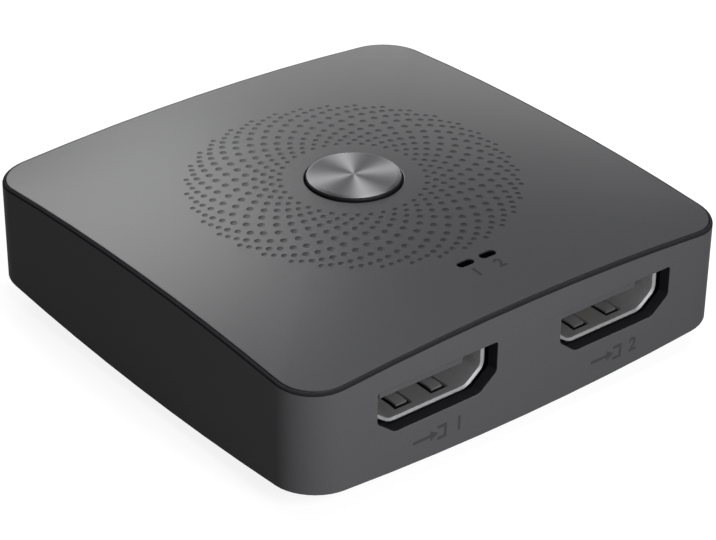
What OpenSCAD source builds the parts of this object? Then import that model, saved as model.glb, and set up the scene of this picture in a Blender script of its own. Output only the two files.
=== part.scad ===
// Two-way HDMI switch box: a square case with domed top and underside, two sockets in front,
// one behind, a turned metal push button in a ring of dimples, and the board and switch inside.
// Frame: +Z up, front towards -Y, origin under the middle of the case on the plane of the feet.

/* [Case] */
// Width of the case, side to side
case_w = 60; // [58:1:76]
// Depth of the case, front to back
case_d = 60; // [58:1:76]
// Radius of the four upright corners
corner_r = 5; // [4:0.5:7]
// Height of the walls at the middle of the front
side_h = 14.7; // [14:0.1:20]
// Radius of the sphere that domes the top and the underside
dome_r = 320; // [280:10:600]
// Thickness of the housing walls
wall_t = 1.5; // [1.3:0.1:1.9]
// Thickness of the lip that is left round the top panel and the bottom cover
lip_t = 0.3; // [0.25:0.05:0.5]
// Height by which the panel and the cover stand proud of that lip
lip_drop = 0.05; // [0.05:0.05:0.5]
// Shadow gap between the lip and the edge of the panel or the cover
edge_gap = 0.1; // [0.1:0.05:0.3]
// Film of adhesive between a panel or cover and its seat
seat_gap = 0.05; // [0.02:0.01:0.1]

/* [Top panel] */
// Thickness of the top panel
panel_t = 1; // [0.8:0.1:1.4]
// Number of rings of dimples
dot_rings = 12; // [6:1:13]
// Number of dimples in each ring
dots_per_ring = 36; // [24:1:40]
// Radius of the innermost ring of dimples
dot_ring_in = 8.3; // [7.6:0.1:9]
// Radius of the outermost ring of dimples
dot_ring_out = 18.8; // [16:0.1:19.2]
// Outward push of the rings in the middle of the band
dot_ring_swell = 0.5; // [0:0.1:0.7]
// Diameter of the dimples in the first and last rings
dot_d_end = 0.6; // [0.3:0.05:0.7]
// Diameter of the dimples in the middle of the band
dot_d_mid = 1; // [0.6:0.05:1.1]
// Depth of a dimple
dot_depth = 0.07; // [0.05:0.01:0.2]
// Turn of the innermost ring, as a share of the step between two dimples
dot_turn = 0.75; // [0:0.05:1]

/* [Indicator lights] */
// Length of an indicator slot, across the case
slot_l = 2.2; // [1.6:0.1:2.6]
// Width of an indicator slot
slot_w = 1.05; // [0.8:0.05:1.4]
// Distance between the two indicator slots, centre to centre
slot_pitch = 3.1; // [2.9:0.1:3.4]
// Distance from the front face to the slots
slot_from_front = 8.95; // [8:0.05:9.5]
// Clearance between a light guide and its slot
guide_clear = 0.06; // [0.03:0.01:0.1]
// Depth of a light guide's end below the top of the panel
guide_sunk = 0.1; // [0.1:0.05:0.4]
// Thickness of the bar that joins the two light guides
guide_bar_t = 0.8; // [0.6:0.1:1.2]
// Margin of that bar round each light guide
guide_bar_rim = 0.6; // [0.4:0.1:0.8]
// Gap between a lamp and the end of its light guide
guide_lamp_gap = 0.3; // [0.2:0.1:0.6]

/* [Button] */
// Radius of the button's black cap
button_r = 5.45; // [5:0.05:6.2]
// Gap between the cap and the hole in the panel
button_gap = 0.2; // [0.12:0.02:0.3]
// Height of the button's face above the middle of the panel
button_rise = 0.5; // [0.45:0.05:1.2]
// Distance that the button can be pressed
button_travel = 0.35; // [0.2:0.05:0.4]
// Thickness of the turned metal disc on the button
disc_t = 0.3; // [0.25:0.05:0.6]
// Edge of the cap that is left round the disc
disc_margin = 0.1; // [0.1:0.05:0.4]
// Bevel round the face of the disc
disc_bevel = 0.15; // [0.1:0.05:0.2]
// Width of the flange that holds the button under the panel
flange_w = 1.2; // [0.8:0.1:1.4]
// Thickness of that flange
flange_t = 0.8; // [0.6:0.1:1.2]
// Gap between the flange and the panel when the button is up
flange_gap = 0.1; // [0.05:0.05:0.2]
// Thickness of the wall round the hollow under the cap
cap_wall = 1.2; // [1:0.1:1.6]
// Radius of the stem that presses the switch
stem_r = 1.6; // [1.2:0.1:1.7]
// Length of the stem's root inside the cap
stem_root = 0.1; // [0.05:0.05:0.2]
// Gap between the stem and the switch plunger
stem_gap = 0.05; // [0.02:0.01:0.1]

/* [HDMI sockets] */
// Distance of a front socket outwards of midway between a light guide and a corner post
port_outward = 0.425; // [0:0.025:0.6]
// Height of the socket openings above the middle of the case
port_above_mid = 0.95; // [0.5:0.05:1.4]
// Width inside a socket
socket_w = 14; // [13.8:0.05:14.2]
// Height inside a socket
socket_h = 4.55; // [4.5:0.05:4.7]
// Width of the slanted lower corners inside a socket
socket_chamfer_w = 2; // [1.6:0.1:2.2]
// Height of the slanted lower corners inside a socket
socket_chamfer_h = 1.6; // [1.4:0.1:1.9]
// Length of a socket from its rim to its back
socket_l = 11; // [10:0.1:12]
// Thickness of a socket's metal shell
shell_t = 0.3; // [0.25:0.05:0.4]
// Distance from the inner face of the wall to the socket's rim
rim_gap = 0.1; // [0.05:0.05:0.3]
// Gap round a shell in the case's cut-out
cutout_gap = 0.22; // [0.15:0.01:0.35]
// Further gap at each side of the cut-out
cutout_side_gap = 0.57; // [0.3:0.01:0.7]
// Width of a spring finger in a shell
finger_w = 1.6; // [1.2:0.1:1.9]
// Length of a spring finger
finger_l = 3.7; // [3:0.1:4.5]
// Distance from the rim to the free end of a spring finger
finger_from_rim = 1.25; // [1:0.05:1.6]
// Distance of a spring finger from the middle of the socket
finger_offset = 2.4; // [2:0.1:3]
// Width of the cut round a spring finger
finger_cut = 0.35; // [0.25:0.05:0.45]
// Width of the tongue that carries the contacts
tongue_w = 11.2; // [10.6:0.1:11.4]
// Thickness of that tongue
tongue_t = 1.5; // [1.2:0.1:1.7]
// Gap above the tongue
tongue_top_gap = 1; // [0.9:0.05:1.2]
// Distance from the rim to the front of the tongue
tongue_from_rim = 1.2; // [1:0.1:1.5]
// Length of the insulator's solid back
insulator_back = 3.6; // [3:0.1:4]
// Clearance between the insulator and the shell
insulator_clear = 0.05; // [0.03:0.01:0.1]
// Number of contacts in the upper row of a socket
upper_count = 10; // [8:1:10]
// Number of contacts in the lower row of a socket
lower_count = 9; // [7:1:9]
// Distance between neighbouring contacts of a row
contact_pitch = 1; // [0.9:0.05:1]
// Width of a contact
contact_w = 0.32; // [0.2:0.02:0.36]
// Thickness of a contact
contact_t = 0.15; // [0.1:0.01:0.2]
// Distance from the front of the tongue to the contacts
contact_setback = 0.35; // [0.2:0.05:0.6]
// Length of a contact's foot on the board
contact_foot = 0.8; // [0.6:0.1:1]
// Width of a shell's solder leg, along the socket
leg_w = 1.2; // [0.8:0.1:1.5]
// Distance from the rim to the front pair of legs
leg_front = 2.4; // [2:0.1:3]
// Distance between the front and rear pairs of legs
leg_pitch = 6; // [5:0.1:6.4]
// Length of a leg below the board
leg_below = 0.5; // [0.3:0.1:0.8]
// Clearance round a leg or a pin in the board
leg_clear = 0.25; // [0.15:0.05:0.35]

/* [Board] */
// Thickness of the board
board_t = 1.6; // [1.2:0.1:1.8]
// Gap between the board and the walls
board_clear = 0.4; // [0.2:0.1:0.8]
// Film of solder between a shell and the board
solder_gap = 0.05; // [0.02:0.01:0.1]
// Side of the signal switching chip
chip_w = 9; // [7:0.5:9.5]
// Thickness of that chip
chip_t = 0.9; // [0.7:0.1:1.2]
// Gap between a socket's contacts and the surge protection, and between columns of small pieces
small_gap = 1; // [0.6:0.1:1.2]
// Distance between neighbouring small pieces of a column
small_pitch = 2; // [1.6:0.1:2.2]
// Number of small pieces in a column
column_count = 4; // [2:1:5]
// Length of an indicator lamp
lamp_l = 2; // [1.6:0.1:2.2]
// Width of an indicator lamp
lamp_w = 1.25; // [0.8:0.05:1.3]
// Height of an indicator lamp
lamp_h = 0.8; // [0.5:0.1:1.2]
// Length of a capacitor or a resistor
chip_part_l = 1.6; // [1:0.1:2]
// Width of a capacitor or a resistor
chip_part_w = 0.8; // [0.5:0.05:1.2]
// Height of a capacitor
capacitor_h = 0.8; // [0.5:0.05:1]
// Height of a resistor
resistor_h = 0.45; // [0.3:0.05:0.6]
// Length of a surge array
surge_l = 2.5; // [2:0.1:3]
// Width of a surge array
surge_w = 1; // [0.8:0.1:1.2]
// Height of a surge array
surge_h = 0.5; // [0.4:0.05:0.6]
// Length of a diode
diode_l = 2.7; // [2.4:0.1:3]
// Length of the regulator
regulator_l = 2.9; // [2.7:0.1:3.2]
// Width of a diode or the regulator
package_w = 1.6; // [1.4:0.1:1.8]
// Height of a diode or the regulator
package_h = 1.1; // [0.9:0.1:1.3]
// Distance between neighbouring diodes
diode_pitch = 4; // [3.6:0.1:4.4]
// Distance of the diodes and the regulator from the middle, across
package_x = 15; // [13:0.5:16]
// Length of a lead on these packages
lead_l = 1.2; // [1:0.1:1.4]
// Width of a lead
lead_w = 0.4; // [0.3:0.05:0.5]
// Thickness of a lead
lead_t = 0.15; // [0.1:0.01:0.2]
// Distance between neighbouring leads
lead_pitch = 0.8; // [0.7:0.05:0.95]
// Length of a lead's root inside its package
lead_root = 0.3; // [0.2:0.05:0.4]

/* [Push switch] */
// Side of the switch body
switch_w = 6; // [5.5:0.1:6.4]
// Height of the switch body without its plate
switch_base_h = 3.2; // [2.8:0.1:3.6]
// Height from the board to the top of the plunger
switch_h = 7; // [6:0.1:7.8]
// Thickness of the switch's metal plate
switch_plate_t = 0.3; // [0.2:0.05:0.4]
// Radius of the well in the switch body
well_r = 2.2; // [2:0.05:2.4]
// Depth of that well
well_h = 1.6; // [1.4:0.1:1.7]
// Radius of the plunger
plunger_r = 1.75; // [1.5:0.05:1.8]
// Clearance round the plunger
plunger_clear = 0.1; // [0.05:0.01:0.15]
// Gap above and below the plunger's foot
plunger_gap = 0.03; // [0.02:0.01:0.06]
// Thickness of the domed contact disc
snap_t = 0.1; // [0.06:0.01:0.12]
// Width of a switch pin
pin_w = 0.7; // [0.5:0.05:0.8]
// Thickness of a switch pin
pin_t = 0.3; // [0.2:0.05:0.4]
// Length of a pin's bent end, into the body of the switch
pin_reach = 0.9; // [0.6:0.05:1]
// Height of a pin's bent end above the board
pin_h = 0.8; // [0.6:0.05:1]
// Distance between the two pins on one side of the switch
pin_pitch = 4.5; // [4:0.1:4.6]

/* [Cover, screws and feet] */
// Thickness of the bottom cover
cover_t = 1.5; // [1.3:0.1:1.8]
// Distance from the outer faces to the axis of each corner screw
post_inset = 5.6; // [5.4:0.1:5.8]
// Radius of a corner post
post_r = 2.7; // [2.6:0.05:2.8]
// Radius of a screw's shank
screw_r = 1; // [0.8:0.05:1.1]
// Radius of a screw's head
screw_head_r = 2; // [1.8:0.05:2.1]
// Thickness of a screw's head
screw_head_t = 1.3; // [1:0.1:1.5]
// Width of the cross recess in a screw's head
cross_w = 0.55; // [0.4:0.05:0.7]
// Length of the cross recess
cross_l = 2.6; // [2.2:0.1:3]
// Depth of the cross recess
cross_depth = 0.65; // [0.5:0.05:0.8]
// Length of a screw's shank that is held in the post
screw_grip = 5; // [4:0.1:5.5]
// Clearance between a screw's shank and the post
thread_clear = 0.03; // [0.02:0.01:0.05]
// Clearance round a screw where it only passes through
screw_clear = 0.2; // [0.1:0.05:0.3]
// Depth by which a screw's head lies below the surface of the cover
screw_sunk = 0.4; // [0.2:0.1:0.6]
// Height of the lowest point of the underside above the table
foot_lift = 0.5; // [0.3:0.1:1.2]
// Radius of a rubber foot
foot_r = 4; // [3:0.1:4.5]
// Distance of each foot from the middle of the case, across and along
foot_at = 17.6; // [15:0.1:17.8]
// Clearance round a foot in its recess
foot_clear = 0.12; // [0.05:0.01:0.2]
// Least depth of the recess that a foot is glued into
foot_recess = 0.15; // [0.1:0.05:0.25]

/* [Hidden] */

// Smoothness of round pieces, of the big domes and of the dimples
$fn = 64;
dome_fn = 256;
dot_fn = 20;
// Overrun of a cutting shape past the face that it cuts
eps = 0.5;

// Heights of the case: the domes, the middle and the board
dome_sag = dome_r - sqrt(pow(dome_r, 2) - pow(case_d / 2, 2));
z_under = foot_lift;
z_top = z_under + side_h + 2 * dome_sag;
z_mid = (z_under + z_top) / 2;
z_port = z_mid + port_above_mid;
z_board = z_port - socket_h / 2 - shell_t - solder_gap;
z_board_under = z_board - board_t;
// Inset of the panel and the cover from the outer faces
panel_inset = lip_t + edge_gap;
// Places of the posts and the feet, on each side of the middle
post_x = case_w / 2 - post_inset;
post_y = case_d / 2 - post_inset;
slot_y = slot_from_front - case_d / 2;
front_rim_y = wall_t + rim_gap - case_d / 2;

// Height of the top dome, sunk by a depth, at a distance from the middle
function top_at(rho, sunk = 0) = z_top - dome_r + sqrt(pow(dome_r - sunk, 2) - pow(rho, 2));
// Height of the underside, raised by a depth, at a distance from the middle
function under_at(rho, raised = 0) = z_under + dome_r - sqrt(pow(dome_r - raised, 2) - pow(rho, 2));

// Screw seats, foot recesses and the heights of the button and the switch
post_rho = norm([post_x, post_y]);
z_screw_seat = under_at(post_rho) + screw_sunk + screw_head_t;
z_foot_seat = under_at(norm([foot_at, foot_at]) + foot_r) + foot_recess;
flange_r = button_r + flange_w;
z_flange = top_at(flange_r, panel_t) - flange_gap;
z_disc = z_top + button_rise - disc_t;
z_plunger_top = z_board + switch_h;
z_well = z_board + switch_base_h - well_h;
z_plate = z_board + switch_base_h;
plunger_foot_r = well_r - plunger_clear;
// The snap disc stands up by the button's travel, and the plunger's foot fills the well above it
snap_h = button_travel + snap_t;
z_plunger = z_well + snap_h + plunger_gap;

// Places of the front sockets, of the surge protection behind each rim and of the chip
port_x = (post_x - post_r + (slot_pitch + slot_l) / 2) / 2 + port_outward;
surge_y = socket_l + insulator_clear + contact_foot + small_gap;
chip_y = (switch_w / 2 - front_rim_y - surge_y - surge_w / 2) / 2;

// Block with upright round corners between two heights
module slab(w, d, r, z0, z1) {
    translate([0, 0, z0]) linear_extrude(z1 - z0) {
        square([w - 2 * r, d], center = true);
        square([w, d - 2 * r], center = true);
        for (sx = [-1, 1], sy = [-1, 1])
            translate([sx * (w / 2 - r), sy * (d / 2 - r)]) circle(r);
    }
}

// Slab that follows the case's own outline, drawn in by an inset
module case_slab(inset, z0, z1) {
    slab(case_w - 2 * inset, case_d - 2 * inset, corner_r - inset, z0, z1);
}

// All that lies below the top dome, sunk by a depth
module below_top(sunk) {
    translate([0, 0, z_top - dome_r]) rotate([90, 0, 0]) sphere(dome_r - sunk, $fn = dome_fn);
}

// All that lies above the underside, raised by a depth
module above_under(raised) {
    translate([0, 0, z_under + dome_r]) rotate([90, 0, 0]) sphere(dome_r - raised, $fn = dome_fn);
}

// Copies at the four corners, at a distance each side of the middle
module at_corners(x, y) {
    for (sx = [-1, 1], sy = [-1, 1])
        translate([sx * x, sy * y, 0]) children();
}

// Stadium-shaped bar that stands upright between two heights
module upright_slot(l, w, z0, z1) {
    translate([0, 0, z0]) {
        translate([-(l - w) / 2, -w / 2, 0]) cube([l - w, w, z1 - z0]);
        for (s = [-1, 1])
            translate([s * (l - w) / 2, 0, 0]) cylinder(r = w / 2, h = z1 - z0);
    }
}

// Box centred across and along, standing at a height
module block(size, z) {
    translate([0, 0, z + size.z / 2]) cube(size, center = true);
}

// Outline of a socket opening, grown by a thickness and spread sideways, seen from the front
function socket_outline(grow = 0, spread = 0) =
    let (slant = atan2(socket_chamfer_h, socket_chamfer_w))
    let (x_side = socket_w / 2 + grow + spread)
    let (z_end = socket_h / 2 + grow)
    let (z_knee = socket_chamfer_h - socket_h / 2 - grow * (1 - sin(slant)) / cos(slant))
    let (x_flat = socket_w / 2 - socket_chamfer_w + grow * (1 - cos(slant)) / sin(slant) + spread)
    [[-x_side, z_end], [-x_side, z_knee], [-x_flat, -z_end],
     [x_flat, -z_end], [x_side, z_knee], [x_side, z_end]];

// Upright outline drawn back from one depth to another, front towards -Y
module drawn_back(points, y0, y1) {
    translate([0, y1, 0]) rotate([90, 0, 0]) linear_extrude(y1 - y0) polygon(points);
}

// Socket number 0 or 1 in front, 2 behind, with its rim just inside the wall
module at_socket(i) {
    if (i < 2)
        translate([(2 * i - 1) * port_x, front_rim_y, z_port]) children();
    else
        translate([0, -front_rim_y, z_port]) rotate([0, 0, 180]) children();
}

// Domed aluminium panel: button hole, indicator slots and the ring of dimples
module top_panel() {
    color("#5b5b5d") difference() {
        intersection() {
            case_slab(panel_inset, z_mid, z_top + eps);
            below_top(0);
        }
        below_top(panel_t);
        translate([0, 0, z_mid]) cylinder(r = button_r + button_gap, h = z_top - z_mid + eps);
        for (s = [-1, 1])
            translate([s * slot_pitch / 2, slot_y, 0]) upright_slot(slot_l, slot_w, z_mid, z_top + eps);
        dimples();
    }
}

// Radius of a ring of dimples, whose pitch opens towards the outer middle of the band
function ring_r(i) =
    let (u = i / (dot_rings - 1))
    dot_ring_in + (dot_ring_out - dot_ring_in) * u + dot_ring_swell * sin(180 * u * u);
// Diameter of its dimples
function ring_dot_d(i) = dot_d_end + (dot_d_mid - dot_d_end) * sin(180 * i / (dot_rings - 1));

// Balls that press the dimples, each ring turned half a step against the next
module dimples() {
    step = 360 / dots_per_ring;
    for (i = [0 : dot_rings - 1]) {
        r = ring_r(i);
        ball_r = (pow(ring_dot_d(i) / 2, 2) + pow(dot_depth, 2)) / (2 * dot_depth);
        z = top_at(r) + ball_r - dot_depth;
        for (j = [0 : dots_per_ring - 1])
            rotate([0, 0, (j + dot_turn + (i % 2) / 2) * step])
                translate([r, 0, z]) sphere(ball_r, $fn = dot_fn);
    }
}

// Walls in one moulding, with a rebate above and below, corner posts and three socket cut-outs
module housing() {
    color("#4b4b4d") difference() {
        union() {
            difference() {
                intersection() {
                    case_slab(0, z_under - eps, z_top + eps);
                    below_top(lip_drop);
                    above_under(lip_drop);
                }
                case_slab(wall_t, z_under - 2 * eps, z_top + 2 * eps);
            }
            intersection() {
                case_slab(wall_t / 2, z_board, z_top + eps);
                below_top(panel_t + seat_gap);
                for (sx = [-1, 1], sy = [-1, 1])
                    translate([sx * post_x, sy * post_y, z_board]) corner_post(sx, sy);
            }
        }
        difference() {
            case_slab(lip_t, z_mid, z_top + eps);
            below_top(panel_t + seat_gap);
        }
        difference() {
            case_slab(lip_t, z_under - eps, z_mid);
            above_under(cover_t + seat_gap);
        }
        for (i = [0 : 2])
            at_socket(i) drawn_back(socket_outline(shell_t + cutout_gap, cutout_side_gap),
                -wall_t - rim_gap - eps, 0);
        at_corners(post_x, post_y) translate([0, 0, z_board - eps])
            cylinder(r = screw_r + thread_clear, h = screw_grip + 2 * eps);
    }
}

// Round post that runs into the walls on the outer side of its corner
module corner_post(sx, sy) {
    h = z_top - z_board + eps;
    cylinder(r = post_r, h = h);
    translate([sx * post_inset / 2, sy * post_inset / 2, h / 2])
        cube([post_inset, post_inset, h], center = true);
}

// Domed cover under the case, with posts up to the board, screw holes and seats for the feet
module bottom_cover() {
    color("#3c3c3e") difference() {
        union() {
            difference() {
                intersection() {
                    case_slab(panel_inset, z_under - eps, z_mid);
                    above_under(0);
                }
                above_under(cover_t);
            }
            at_corners(post_x, post_y) translate([0, 0, under_at(post_rho, cover_t / 2)])
                cylinder(r = post_r, h = z_board_under - under_at(post_rho, cover_t / 2));
        }
        at_corners(post_x, post_y) {
            translate([0, 0, z_under]) cylinder(r = screw_r + screw_clear, h = z_board - z_under);
            translate([0, 0, z_under]) cylinder(r = screw_head_r + screw_clear, h = z_screw_seat - z_under);
        }
        at_corners(foot_at, foot_at) translate([0, 0, z_under - eps])
            cylinder(r = foot_r + foot_clear, h = z_foot_seat - z_under + eps);
    }
}

// Four screws that clamp cover, board and housing together at the corners
module cover_screws() {
    color("#8d8f92") at_corners(post_x, post_y) difference() {
        union() {
            translate([0, 0, z_screw_seat - screw_head_t]) cylinder(r = screw_head_r, h = screw_head_t);
            translate([0, 0, z_screw_seat]) cylinder(r = screw_r, h = z_board + screw_grip - z_screw_seat);
        }
        translate([0, 0, z_screw_seat - screw_head_t]) {
            cube([cross_l, cross_w, 2 * cross_depth], center = true);
            cube([cross_w, cross_l, 2 * cross_depth], center = true);
        }
    }
}

// Four round rubber feet glued into flat recesses in the cover
module rubber_feet() {
    color("#262626") at_corners(foot_at, foot_at) cylinder(r = foot_r, h = z_foot_seat);
}

// Circuit board, clamped at its corners, with slots for the shells' legs and the switch's pins
module main_board() {
    color("#161a18") difference() {
        case_slab(wall_t + board_clear, z_board_under, z_board);
        at_corners(post_x, post_y) translate([0, 0, z_board_under - eps])
            cylinder(r = screw_r + screw_clear, h = board_t + 2 * eps);
        for (i = [0 : 2])
            at_socket(i) shell_legs(leg_clear);
        switch_legs(leg_clear);
    }
}

// Four legs that hold a socket's shell in the board, each grown by a clearance
module shell_legs(grow = 0) {
    z_low = z_board_under - leg_below - z_port;
    z_high = socket_chamfer_h + shell_t - socket_h / 2;
    for (sx = [-1, 1], row = [0, 1])
        translate([sx * (socket_w + shell_t) / 2, leg_front + row * leg_pitch, (z_low + z_high) / 2])
            cube([shell_t + 2 * grow, leg_w + 2 * grow, z_high - z_low], center = true);
}

// Folded sheet shell of a socket, with two spring fingers in its floor and two in its roof
module socket_shell() {
    difference() {
        union() {
            drawn_back(socket_outline(shell_t), 0, socket_l);
            shell_legs();
        }
        drawn_back(socket_outline(), -eps, socket_l + eps);
        for (sx = [-1, 1], sz = [-1, 1])
            translate([sx * finger_offset, finger_from_rim, sz * (socket_h + shell_t) / 2]) finger_slit();
    }
}

// Cut on three sides of a spring finger, which stays joined at its rear end
module finger_slit() {
    cut_h = 2 * shell_t;
    for (s = [-1, 1])
        translate([s * (finger_w + finger_cut) / 2, finger_l / 2, 0])
            cube([finger_cut, finger_l, cut_h], center = true);
    translate([0, finger_cut / 2, 0]) cube([finger_w + 2 * finger_cut, finger_cut, cut_h], center = true);
}

// Height of the tongue's upper face above the middle of the socket
tongue_top = socket_h / 2 - tongue_top_gap;
// Distance from the rim to the front of the insulator's solid back
back_from_rim = socket_l - insulator_back;

// Grey insulator: a solid back in the shell, the tongue, and channels for the contacts
module socket_insulator() {
    difference() {
        union() {
            drawn_back(socket_outline(-insulator_clear), back_from_rim, socket_l);
            translate([-tongue_w / 2, tongue_from_rim, tongue_top - tongue_t])
                cube([tongue_w, back_from_rim - tongue_from_rim + eps, tongue_t]);
        }
        socket_contacts();
    }
}

// Two rows of contacts, along the tongue's faces, out at the back and down to the board
module socket_contacts() {
    contact_row(upper_count, tongue_top - contact_t / 2);
    contact_row(lower_count, tongue_top - tongue_t - contact_t / 2);
}

// One row of contacts at a height, each with a drop behind the insulator and a foot on the board
module contact_row(count, z) {
    y_front = tongue_from_rim + contact_setback;
    y_drop = socket_l + insulator_clear;
    z_foot = z_board - z_port;
    for (i = [0 : count - 1])
        translate([(i - (count - 1) / 2) * contact_pitch - contact_w / 2, 0, 0]) {
            translate([0, y_front, z]) cube([contact_w, y_drop + contact_t - y_front, contact_t]);
            translate([0, y_drop, z_foot]) cube([contact_w, contact_t, z + contact_t - z_foot]);
            translate([0, y_drop, z_foot]) cube([contact_w, contact_foot, contact_t]);
        }
}

// The three sockets: shell, insulator and contacts of each
module hdmi_shell(i) {
    color("#b9bbbd") at_socket(i) socket_shell();
}

module hdmi_insulator(i) {
    color("#505052") at_socket(i) socket_insulator();
}

module hdmi_contacts(i) {
    color("#c9a04a") at_socket(i) socket_contacts();
}

// Body of the push switch, with a round well for the snap disc and the plunger's foot
module switch_base() {
    color("#202020") difference() {
        block([switch_w, switch_w, switch_base_h], z_board);
        translate([0, 0, z_well]) cylinder(r = well_r, h = well_h + eps);
        switch_legs(0);
    }
}

// Domed spring disc in the floor of the well, which clicks flat and closes the contact
module switch_snap_disc() {
    rim_r = well_r - plunger_clear;
    ball_r = (pow(rim_r, 2) + pow(snap_h, 2)) / (2 * snap_h);
    color("#c8c8c4") translate([0, 0, z_well]) rotate_extrude() intersection() {
        difference() {
            translate([0, snap_h - ball_r]) circle(ball_r, $fn = dome_fn);
            translate([0, snap_h - ball_r]) circle(ball_r - snap_t, $fn = dome_fn);
        }
        square([rim_r, snap_h + eps]);
    }
}

// Plunger with a wide foot over the snap disc, out through the plate to the button's stem
module switch_plunger() {
    color("#2b2b2b") translate([0, 0, z_plunger]) {
        cylinder(r = plunger_foot_r, h = z_plate - plunger_gap - z_plunger);
        cylinder(r = plunger_r, h = z_plunger_top - z_plunger);
    }
}

// Metal plate that closes the switch and keeps the plunger in
module switch_plate() {
    color("#b5b7b9") difference() {
        block([switch_w, switch_w, switch_plate_t], z_plate);
        translate([0, 0, z_plate - eps])
            cylinder(r = plunger_r + plunger_clear, h = switch_plate_t + 2 * eps);
    }
}

// Four pins from the sides of the switch down through the board
module switch_pins() {
    color("#b5b7b9") switch_legs(0);
}

// The pins themselves, grown by a clearance where they pass through the board
module switch_legs(grow) {
    z_bend = z_board + pin_h;
    z_low = z_board_under - leg_below;
    for (sx = [-1, 1], sy = [-1, 1])
        translate([sx * (switch_w / 2 + pin_t), sy * pin_pitch / 2, 0]) {
            translate([-sx * pin_t / 2, 0, (z_low + z_bend) / 2])
                cube([pin_t + 2 * grow, pin_w + 2 * grow, z_bend - z_low], center = true);
            translate([-sx * pin_reach / 2, 0, z_bend - pin_t / 2])
                cube([pin_reach, pin_w, pin_t], center = true);
        }
}

// Black cap of the button, held under the panel by its flange, with a stem to the switch
module button_cap() {
    z_cup = z_flange - flange_t;
    color("#161616") {
        difference() {
            union() {
                translate([0, 0, z_cup]) cylinder(r = flange_r, h = flange_t);
                translate([0, 0, z_cup]) cylinder(r = button_r, h = z_disc - z_cup);
            }
            translate([0, 0, z_cup - eps]) cylinder(r = button_r - cap_wall, h = flange_t + eps);
        }
        translate([0, 0, z_plunger_top + stem_gap])
            cylinder(r = stem_r, h = z_flange + stem_root - z_plunger_top - stem_gap);
    }
}

// Turned aluminium disc on the cap, with a bevelled rim
module button_disc() {
    r = button_r - disc_margin;
    color("#a9abad") translate([0, 0, z_disc]) rotate_extrude()
        polygon([[0, 0], [r, 0], [r, disc_t - disc_bevel], [r - disc_bevel, disc_t], [0, disc_t]]);
}

// Pair of light guides on one bar under the panel, from the lamps up into the slots
module light_guide() {
    guide_l = slot_l - 2 * guide_clear;
    guide_w = slot_w - 2 * guide_clear;
    bar_l = slot_pitch + slot_l + 2 * guide_bar_rim;
    bar_w = slot_w + 2 * guide_bar_rim;
    z_bar = top_at(norm([bar_l / 2, slot_y - bar_w / 2]), panel_t) - seat_gap - guide_bar_t;
    z_end = top_at(norm([slot_pitch / 2 + slot_l / 2, slot_y])) - guide_sunk;
    color("#2a2c2e") translate([0, slot_y, 0]) {
        for (s = [-1, 1])
            translate([s * slot_pitch / 2, 0, 0])
                upright_slot(guide_l, guide_w, z_board + lamp_h + guide_lamp_gap, z_end);
        block([bar_l, bar_w, guide_bar_t], z_bar);
    }
}

// Two indicator lamps on the board under the light guides
module status_lamps() {
    color("#e8e4d2") for (s = [-1, 1])
        translate([s * slot_pitch / 2, slot_y, 0]) block([lamp_l, lamp_w, lamp_h], z_board);
}

// Chip that passes one of two inputs to the output
module signal_chip() {
    color("#1a1a1a") translate([0, chip_y, 0]) block([chip_w, chip_w, chip_t], z_board);
}

// Moulded package with a number of leads on each long side
module leaded_package(length, leads) {
    block([length, package_w, package_h], z_board);
    for (s = [-1, 1], i = [0 : leads - 1])
        translate([(i - (leads - 1) / 2) * lead_pitch, s * (package_w + lead_l - 2 * lead_root) / 2, 0])
            block([lead_w, lead_l, lead_t], z_board);
}

// Voltage regulator
module regulator() {
    color("#1a1a1a") translate([-package_x, chip_y, 0]) leaded_package(regulator_l, 3);
}

// Diodes that draw the supply from whichever socket has it
module power_diodes() {
    color("#222222") for (i = [-1 : 1])
        translate([package_x, chip_y + i * diode_pitch, 0]) leaded_package(diode_l, 1);
}

// Surge protection beside the contacts of each socket
module surge_arrays() {
    color("#2a2a2a") for (i = [0 : 2], s = [-1, 1])
        at_socket(i) translate([s * surge_l, surge_y, -z_port]) block([surge_l, surge_w, surge_h], z_board);
}

// Capacitors in a column on each side of the chip
module capacitors() {
    x = chip_w / 2 + small_gap + chip_part_l / 2;
    color("#b08d5e") small_columns(x, capacitor_h);
}

// Resistors in a column outside each column of capacitors
module resistors() {
    x = chip_w / 2 + 2 * small_gap + 3 * chip_part_l / 2;
    color("#303030") small_columns(x, resistor_h);
}

// Like pieces in a column on each side of the chip
module small_columns(x, h) {
    for (s = [-1, 1], i = [0 : column_count - 1])
        translate([s * x, chip_y + (i - (column_count - 1) / 2) * small_pitch, 0])
            block([chip_part_l, chip_part_w, h], z_board);
}

top_panel();
housing();
bottom_cover();
cover_screws();
rubber_feet();
main_board();
hdmi_shell(0);  // hdmi_in_1_shell
hdmi_insulator(0);  // hdmi_in_1_insulator
hdmi_contacts(0);  // hdmi_in_1_contacts
hdmi_shell(1);  // hdmi_in_2_shell
hdmi_insulator(1);  // hdmi_in_2_insulator
hdmi_contacts(1);  // hdmi_in_2_contacts
hdmi_shell(2);  // hdmi_out_shell
hdmi_insulator(2);  // hdmi_out_insulator
hdmi_contacts(2);  // hdmi_out_contacts
switch_base();
switch_snap_disc();
switch_plunger();
switch_plate();
switch_pins();
button_cap();
button_disc();
light_guide();
status_lamps();
signal_chip();
regulator();
power_diodes();
surge_arrays();
capacitors();
resistors();
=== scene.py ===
import math

import bmesh
import bpy
from mathutils import Matrix, Vector


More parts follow.
